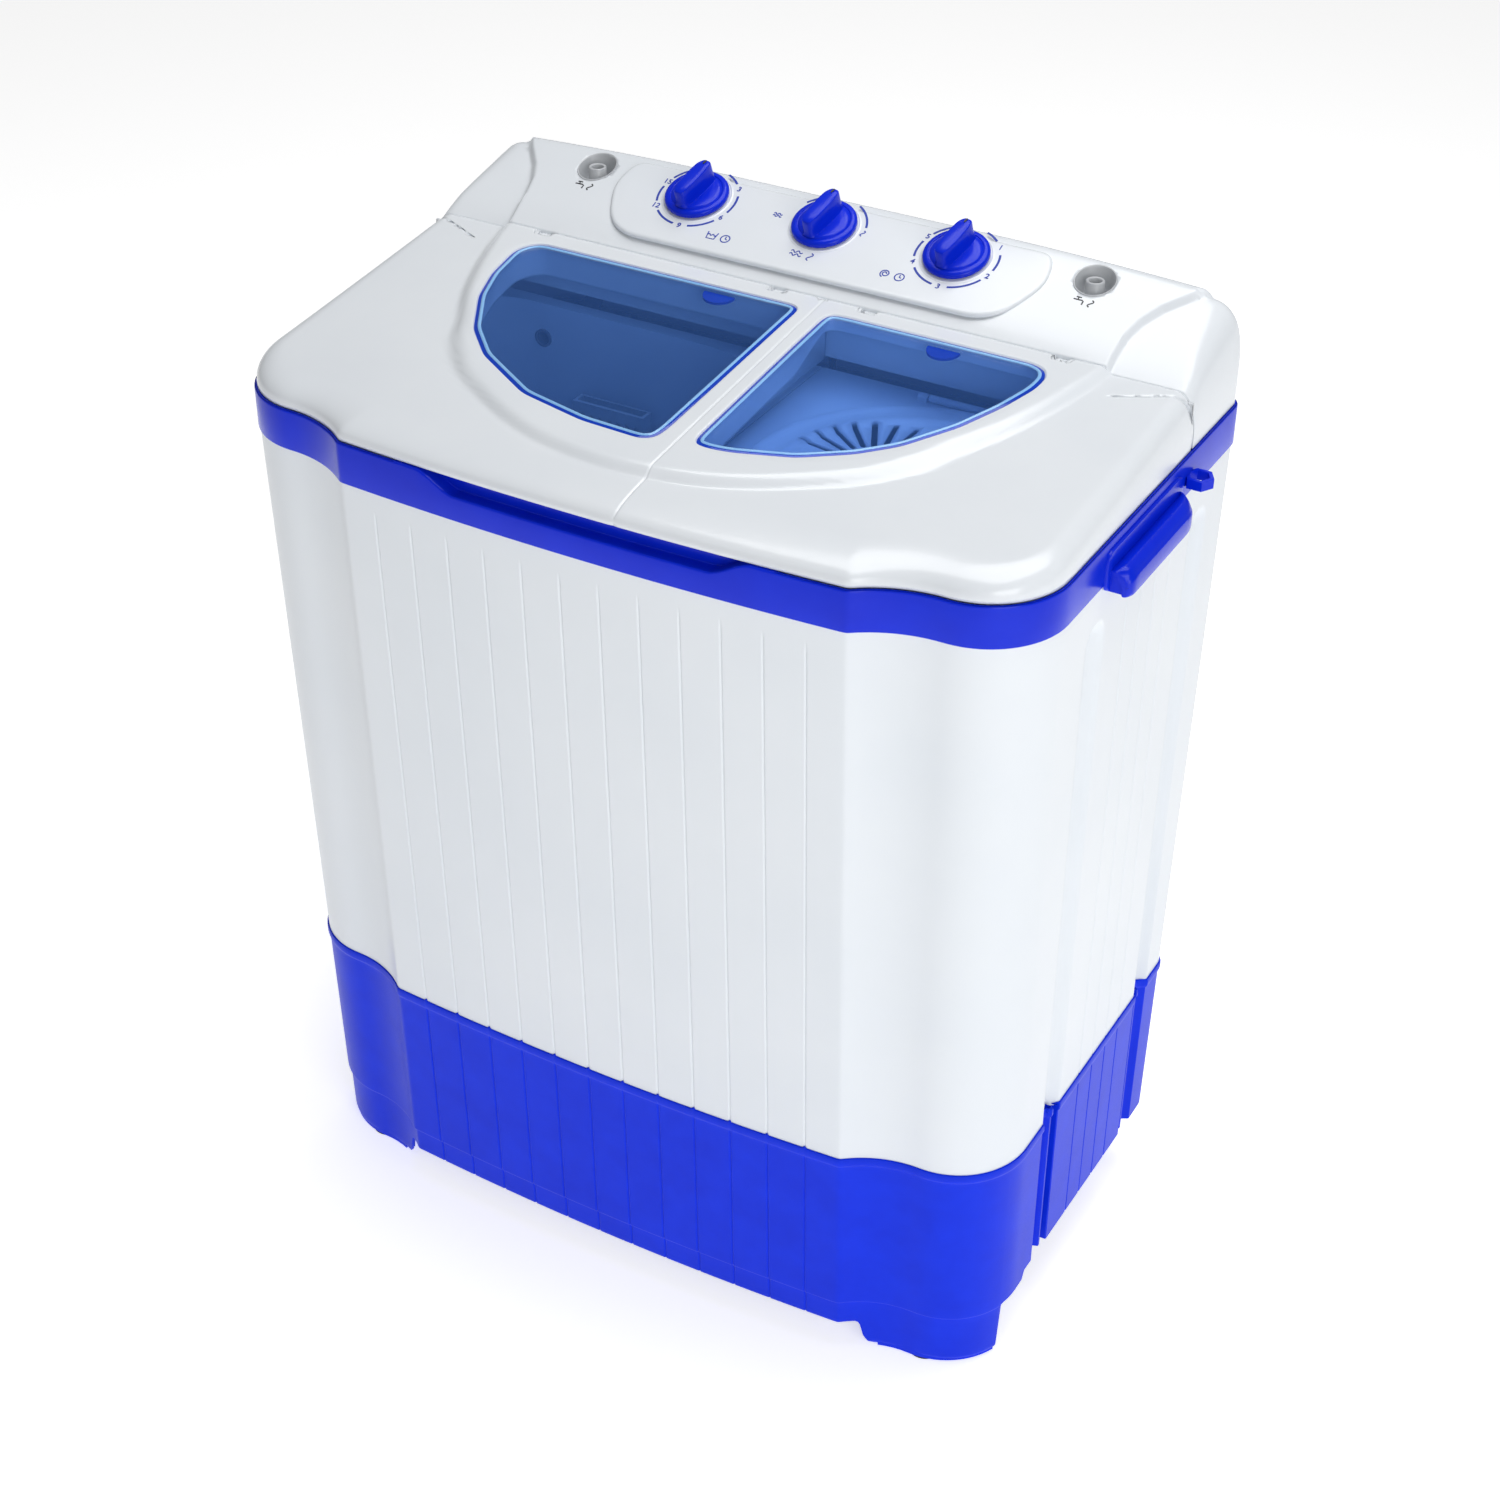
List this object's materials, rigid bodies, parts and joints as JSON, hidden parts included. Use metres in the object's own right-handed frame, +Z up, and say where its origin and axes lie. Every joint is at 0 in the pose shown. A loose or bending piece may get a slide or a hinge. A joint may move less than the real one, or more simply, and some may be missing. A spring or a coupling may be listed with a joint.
{
  "type": "twin tub washer",
  "caption": "Free-standing twin tub washer with a wash tub, a spin basket, two hinged lids with blue windows and a knob console.",
  "frame": {"origin": "centre of the footprint on the floor", "axes": "+Z up, -Y the front with the finger recess, +X towards the spin tub"},
  "size_m": [0.746, 0.431, 0.8878],
  "materials": {
    "white_plastic": "glossy moulded, cool white",
    "blue_plastic": "glossy moulded, deep blue",
    "window_plastic": "translucent light blue",
    "tub_plastic": "semi-matt polypropylene",
    "grey_plastic": "satin grey",
    "rubber": "matt black",
    "steel": "zinc plated",
    "motor_metal": "die cast and painted sheet"
  },
  "bodies": {
    "cabinet": {"base_skirt": "blue_plastic", "base_legs": "blue_plastic", "foot_pads": "rubber", "cabinet_wrap": "white_plastic", "rear_panel": "white_plastic", "rear_panel_screws": "steel", "cord_gland": "grey_plastic", "top_band": "blue_plastic", "side_handle_left": "blue_plastic", "side_handle_right": "blue_plastic", "handle_screws": "steel", "hose_hook": "blue_plastic", "wash_tub": "tub_plastic", "spin_outer_tub": "tub_plastic", "inner_lid_pin": "steel", "lint_filter": "tub_plastic", "inlet_hose_left": "grey_plastic", "inlet_hose_right": "grey_plastic", "console_cover": "white_plastic", "lid_hinge_pins": "steel", "knob_plate": "white_plastic", "inlet_cup_left": "grey_plastic", "inlet_cup_right": "grey_plastic", "wash_bearing_housing": "grey_plastic", "drive_belt": "rubber", "wash_motor": "motor_metal", "spin_motor": "motor_metal", "motor_mounts": "rubber", "spin_shaft_seal": "rubber", "drain_valve_body": "tub_plastic", "drain_pipe": "grey_plastic", "drain_outlet": "grey_plastic", "spin_drain_hose": "grey_plastic", "capacitor": "motor_metal", "wash_timer": "grey_plastic", "flow_switch": "grey_plastic", "spin_timer": "grey_plastic"},
    "wash_lid": {"wash_lid_shell": "white_plastic", "wash_window": "window_plastic", "wash_window_clip": "blue_plastic"},
    "spin_lid": {"spin_lid_shell": "white_plastic", "spin_window": "window_plastic", "spin_window_clip": "blue_plastic"},
    "inner_lid": {"spin_inner_lid": "tub_plastic"},
    "wash_timer_control": {"wash_timer_knob": "blue_plastic", "wash_timer_shaft": "steel"},
    "flow_control": {"flow_switch_knob": "blue_plastic", "flow_switch_shaft": "steel"},
    "spin_timer_control": {"spin_timer_knob": "blue_plastic", "spin_timer_shaft": "steel"},
    "agitator": {"pulsator": "tub_plastic", "pulsator_shaft": "steel", "wash_pulley": "motor_metal"},
    "wash_rotor": {"motor_pulley": "steel"},
    "spinner": {"spin_basket": "tub_plastic", "spin_shaft": "steel", "brake_drum": "motor_metal"},
    "valve_plug": {"drain_plug": "rubber"},
    "brake": {"brake_lever": "steel"}
  },
  "joints": [
    {"name": "wash_lid_hinge", "type": "hinge", "parent": "cabinet", "child": "wash_lid", "pos_m": [-0.118, 0.1079, 0.82461], "axis": [-1, 0, 0], "range_deg": [0, 100]},
    {"name": "spin_lid_hinge", "type": "hinge", "parent": "cabinet", "child": "spin_lid", "pos_m": [0.15, 0.1079, 0.82461], "axis": [-1, 0, 0], "range_deg": [0, 100]},
    {"name": "inner_lid_hinge", "type": "hinge", "parent": "cabinet", "child": "inner_lid", "pos_m": [0.186, 0.095, 0.775], "axis": [-1, 0, 0], "range_deg": [0, 80]},
    {"name": "wash_timer_turn", "type": "hinge", "parent": "cabinet", "child": "wash_timer_control", "pos_m": [-0.1244, 0.1745, 0.8595], "axis": [0, 0.3584, -0.9336], "range_deg": [0, 300]},
    {"name": "flow_selector_turn", "type": "hinge", "parent": "cabinet", "child": "flow_control", "pos_m": [-0.0037, 0.1745, 0.8595], "axis": [0, 0.3584, -0.9336], "range_deg": [-60, 60]},
    {"name": "spin_timer_turn", "type": "hinge", "parent": "cabinet", "child": "spin_timer_control", "pos_m": [0.1162, 0.1745, 0.8595], "axis": [0, 0.3584, -0.9336], "range_deg": [0, 300]},
    {"name": "pulsator_spin", "type": "hinge", "parent": "cabinet", "child": "agitator", "pos_m": [-0.156, -0.037, 0.31], "axis": [0, 0, 1], "continuous": true},
    {"name": "wash_motor_spin", "type": "hinge", "parent": "cabinet", "child": "wash_rotor", "pos_m": [-0.01, 0.02, 0.215], "axis": [0, 0, 1], "continuous": true},
    {"name": "spin_basket_spin", "type": "hinge", "parent": "cabinet", "child": "spinner", "pos_m": [0.186, -0.042, 0.34], "axis": [0, 0, 1], "continuous": true},
    {"name": "drain_valve_lift", "type": "slide", "parent": "cabinet", "child": "valve_plug", "axis": [0, 0, 1], "range_m": [-0.0126, 0.0126]},
    {"name": "brake_lever_swing", "type": "hinge", "parent": "cabinet", "child": "brake", "pos_m": [0.252, 0.024, 0.215], "axis": [0, 0, -1], "range_deg": [0, 1.6]}
  ],
  "couplings": [
    {"joint": "inner_lid_hinge", "follows": "spin_lid_hinge", "ratio": 0.8},
    {"joint": "brake_lever_swing", "follows": "spin_lid_hinge", "ratio": 0.016},
    {"joint": "wash_motor_spin", "follows": "pulsator_spin", "ratio": 3.6471},
    {"joint": "drain_valve_lift", "follows": "flow_selector_turn", "m_per_rad": 0.012}
  ]
}
